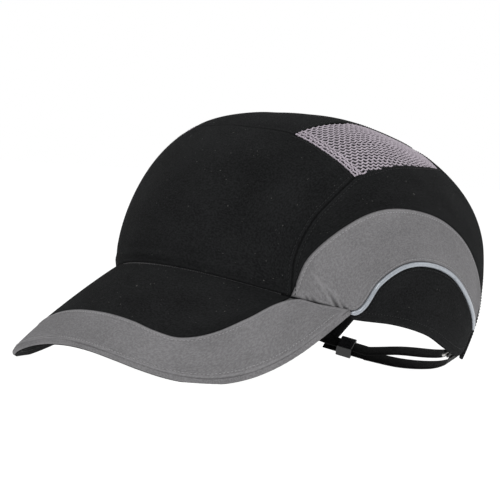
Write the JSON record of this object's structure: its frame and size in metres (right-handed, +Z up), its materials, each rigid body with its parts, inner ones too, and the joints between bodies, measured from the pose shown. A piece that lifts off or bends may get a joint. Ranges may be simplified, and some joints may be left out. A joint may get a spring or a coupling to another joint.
{
  "type": "bump cap",
  "caption": "Baseball-style bump cap: fabric cover with peak, mesh vents and reflective piping over a hard shell, foam pads and sweatband, with an adjusting strap behind",
  "frame": {"origin": "under the middle of the bounding box, on the surface the cap stands on", "axes": "+Z up, -Y to the front (the peak), +X to the wearer's left"},
  "size_m": [0.183, 0.2756, 0.1421],
  "materials": {
    "black_twill": "matt cotton twill with a fine diagonal weave",
    "grey_cloth": "matt mid grey cloth",
    "open_mesh": "open square mesh, lilac grey",
    "reflective_piping": "silver reflective tape over a cord",
    "binding_tape": "black binding tape",
    "towelling": "black towelling over thin foam",
    "black_webbing": "narrow woven webbing",
    "shell_plastic": "satin moulded shell",
    "foam": "closed-cell foam pad",
    "board_plastic": "flat stiffener sheet",
    "slider_plastic": "moulded slider",
    "ring_steel": "dark plated wire"
  },
  "bodies": {
    "cap": {"front_panel": "black_twill", "top_panel": "black_twill", "rear_panel": "black_twill", "rear_arch_binding": "binding_tape", "sweatband": "towelling", "bump_shell": "shell_plastic", "front_pad": "foam", "crown_pad": "foam", "rear_pad": "foam", "peak_board": "board_plastic", "peak_under_cover": "black_twill", "peak_top_panel": "black_twill", "peak_band": "grey_cloth", "peak_edge_piping": "grey_cloth", "strap_webbing": "black_webbing", "ring_tab": "black_webbing", "mesh_panel_left": "open_mesh", "mesh_panel_right": "open_mesh", "crown_side_panel_left": "black_twill", "crown_side_panel_right": "black_twill", "side_panel_left": "grey_cloth", "side_panel_right": "grey_cloth", "ear_panel_left": "black_twill", "ear_panel_right": "black_twill", "side_piping_left": "reflective_piping", "side_piping_right": "reflective_piping", "front_seam_tape_left": "binding_tape", "front_seam_tape_right": "binding_tape", "side_pad_left": "foam", "side_pad_right": "foam"},
    "slider": {"strap_slider": "slider_plastic"},
    "ring": {"strap_ring": "ring_steel"}
  },
  "joints": [
    {"name": "slider_travel", "type": "slide", "parent": "cap", "child": "slider", "axis": [0.7796, 0.5891, -0.2123], "range_m": [-0.003, 0.006]},
    {"name": "ring_swing", "type": "hinge", "parent": "cap", "child": "ring", "pos_m": [0.0484, 0.09632, 0.01574], "axis": [0.6238, 0.561, 0.5442], "range_deg": [-4, 4]}
  ]
}
